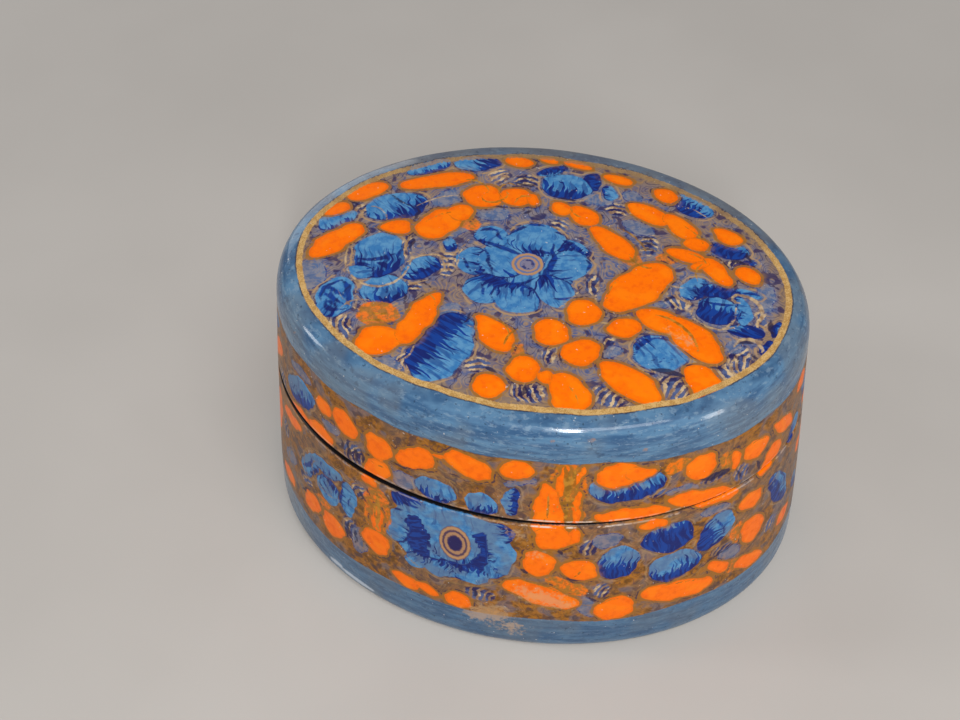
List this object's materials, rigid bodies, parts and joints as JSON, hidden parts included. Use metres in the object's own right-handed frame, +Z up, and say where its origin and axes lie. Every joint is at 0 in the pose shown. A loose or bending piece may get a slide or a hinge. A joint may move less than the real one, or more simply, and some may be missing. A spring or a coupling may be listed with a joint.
{
  "type": "papier-mache trinket box",
  "caption": "Small oval lidded box for trinkets, hollow under a lift-off lid that drops over an inner collar, painted and lacquered all over with a floral pattern.",
  "frame": {"origin": "on the ground under the middle of the oval foot", "axes": "+X along the length of the oval, the raised end of the lid towards -X; +Y across the width, away from the pictured side; +Z up through the lid"},
  "size_m": [0.08, 0.0606, 0.0477],
  "materials": {
    "painted_base": "hand-painted lacquered papier-mache, gloss varnish",
    "painted_lid": "hand-painted lacquered papier-mache, gloss varnish"
  },
  "bodies": {
    "root": {"box_base": "painted_base", "lid": "painted_lid"}
  },
  "joints": []
}
